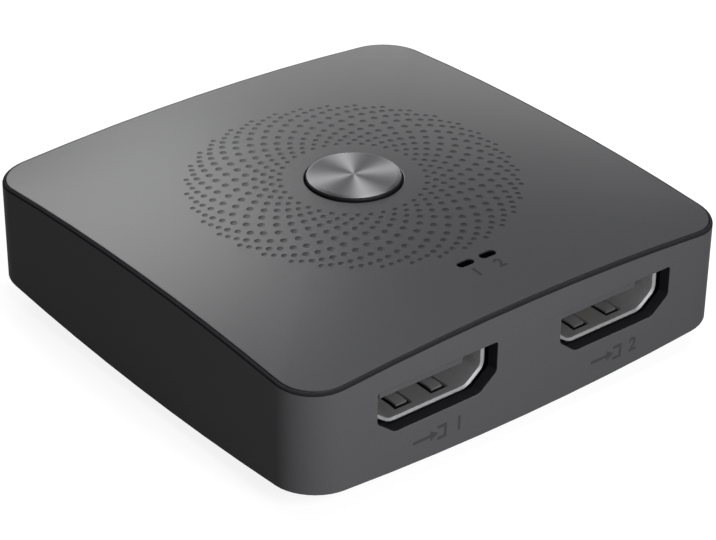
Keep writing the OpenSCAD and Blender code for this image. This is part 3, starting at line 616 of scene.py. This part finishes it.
# Light guides, lamps, board and switch: the pieces inside, as the CAD has them.
# Only the dark ends of the smoked acrylic guides show, a little below the top: they look black
# while the lamps are off. Resin and ceramic are hidden and have their usual looks; the board's
# solder mask is black, painted shade for the dark seen through the shell's finger windows.
inner_finishes = {
    "light_guide": finish_of("smoked_acrylic", "#020202", "#030303", 0.5,
                             {"Specular IOR Level": 0.0}, 0.0, (0.5, 0.6)),
    "status_lamps": finish_of("lamp_resin", "#e6e0cc", "#efe9d6", 0.3, {}, 0.0, (0.25, 0.35)),
    # Painted shade: the board is black for the dark seen through the shell's finger windows.
    "main_board": finish_of("solder_mask_painted_shade_black", "#0c0e0d", "#111312", 0.35,
                            {"Specular IOR Level": 0.3}, 0.03, (0.4, 0.5)),
    "switch_base": black_abs, "switch_plunger": black_abs, "signal_chip": black_abs,
    "regulator": black_abs, "power_diodes": black_abs, "surge_arrays": black_abs,
    "resistors": black_abs, "switch_plate": tin, "switch_pins": tin,
    "capacitors": finish_of("fired_ceramic", "#a98a5e", "#b3956a", 0.2, {}, 0.02, (0.5, 0.6)),
}
for name, coat in inner_finishes.items():
    dress(name, coat)

# Printed marks: plain numerals beside the lights and under the front sockets, with an arrow
# into a socket. Screen ink is a thin flat film, a little darker than what it is printed on.
ink = finish_of("screen_ink", "#414143", "#464648", 0.15,
                {"Specular IOR Level": 0.02}, 0.0, (0.5, 0.6))
top_inked = finish_of("screen_ink_on_metal", "#29292b", "#2e2e30", 0.15,
                      {"Specular IOR Level": 0.1}, 0.0, (0.5, 0.6))
ink_t, stroke_grow = 0.009, 0.03
top_numeral_h, top_numeral_x, top_numeral_y = 2.1, 1.6, -23.1
front_numeral_h, front_numeral_x, front_mark_z = 2.4, 3, z_mid - 4.4
head_r, head_x = 0.75, -0.6
# The arrow's shaft and the three sides of the socket, as corners of bars
bars = [((-3.3, -0.2), (-0.975, 0.2)), ((0, 0.5), (0.9, 0.9)), ((0, -0.9), (0.9, -0.5)),
        ((0.9, -0.9), (1.3, 0.9))]


def numeral(bm, text, size):
    """Flat figure of a height, centred, in the XY plane."""
    curve = bpy.data.curves.new(text, "FONT")
    curve.body, curve.size, curve.align_x, curve.align_y = text, size, "CENTER", "CENTER"
    curve.offset = stroke_grow * size
    figure = bpy.data.objects.new(text, curve)
    scene.collection.objects.link(figure)
    before = set(bm.verts)
    bm.from_mesh(figure.evaluated_get(bpy.context.evaluated_depsgraph_get()).to_mesh())
    bpy.data.curves.remove(curve)
    return [v for v in bm.verts if v not in before]


top_ink, front_ink = bmesh.new(), bmesh.new()
for text, side in (("1", -1), ("2", 1)):
    for v in numeral(top_ink, text, top_numeral_h):
        x, y = v.co.x + side * top_numeral_x, v.co.y + top_numeral_y
        v.co = Vector((x, y, top_at(x, y) + ink_t))
    group = numeral(front_ink, text, front_numeral_h)
    bmesh.ops.translate(front_ink, vec=(front_numeral_x, 0, 0), verts=group)
    for (x0, y0), (x1, y1) in bars:
        bar = bmesh.ops.create_grid(front_ink, x_segments=1, y_segments=1, size=0.5)["verts"]
        bmesh.ops.scale(front_ink, vec=(x1 - x0, y1 - y0, 1), verts=bar)
        bmesh.ops.translate(front_ink, vec=((x0 + x1) / 2, (y0 + y1) / 2, 0), verts=bar)
        group += bar
    turn = Matrix.Translation((head_x, 0, 0)) @ Matrix.Rotation(-math.pi / 2, 4, "Z")
    group += bmesh.ops.create_circle(front_ink, cap_ends=True, segments=3, radius=head_r,
                                     matrix=turn)["verts"]
    for v in group:
        v.co = Vector((v.co.x + side * port_x, -case_half - ink_t, front_mark_z + v.co.y))
piece("top_numerals", top_ink, "case", [], [top_inked])
piece("front_marks", front_ink, "case", [], [ink])

# Floor: a plain pale sheet that carries the box and its shadow.
# The camera and reflections see it near white, and it gives back little light of its own.
floor_half, floor_glow = 3, 0.87
sheet = bmesh.new()
bmesh.ops.create_grid(sheet, x_segments=1, y_segments=1, size=floor_half)
mesh = bpy.data.meshes.new("floor")
sheet.to_mesh(mesh)
sheet.free()
floor = bpy.data.objects.new("floor", mesh)
scene.collection.objects.link(floor)
paper = bpy.data.materials.new("pale_paper")
paper.use_nodes = True
tree = paper.node_tree
tree.nodes.clear()
path = node(tree, "LightPath").outputs
seen = node(tree, "Math", {0: path["Is Camera Ray"], 1: path["Is Glossy Ray"]}, operation="ADD")
seen = node(tree, "Math", {0: seen.outputs[0], 1: path["Is Transmission Ray"]}, operation="ADD")
glow = node(tree, "Emission", {"Color": linear("#ffffff"), "Strength": floor_glow})
matt = node(tree, "BsdfDiffuse", {"Color": linear("#7c7c7c")})
both = node(tree, "AddShader", {0: glow.outputs[0], 1: matt.outputs[0]})
pick = node(tree, "MixShader", {0: seen.outputs[0], 1: matt.outputs[0], 2: both.outputs[0]})
node(tree, "OutputMaterial", {"Surface": pick.outputs[0]})
mesh.materials.append(paper)

# Light: four soft boxes in a dim grey room. The ones behind give the sheen on the top and the
# fans on the disc, the high one lights the top evenly, and a small near one lights the front.
room_level = 0.055
world = bpy.data.worlds.new("room")
scene.world = world
world.use_nodes = True
room = world.node_tree.nodes["Background"].inputs
room["Color"].default_value = linear("#ffffff")
room["Strength"].default_value = room_level


def soft_box(name, direction, distance, width, height, watts):
    """Rectangular soft light in a direction from the box, turned towards it, in metres."""
    light = bpy.data.lights.new(name, "AREA")
    light.shape, light.size, light.size_y, light.energy = "RECTANGLE", width, height, watts
    lamp = bpy.data.objects.new(name, light)
    way = Vector(direction).normalized()
    lamp.location = way * distance
    lamp.rotation_euler = way.to_track_quat("Z", "Y").to_euler()
    lamp.visible_camera = False
    scene.collection.objects.link(lamp)


soft_box("back_box", (0.131, 0.803, 0.581), 0.6, 0.437, 0.224, 1.6)
soft_box("low_box", (0.641, 0.743, 0.19), 0.6, 0.352, 0.293, 0.47)
soft_box("high_box", (0.28, -0.041, 0.959), 0.6, 0.345, 0.345, 2.45)
soft_box("front_box", (-0.179, -0.842, 0.51), 0.196, 0.07, 0.07, 0.28)
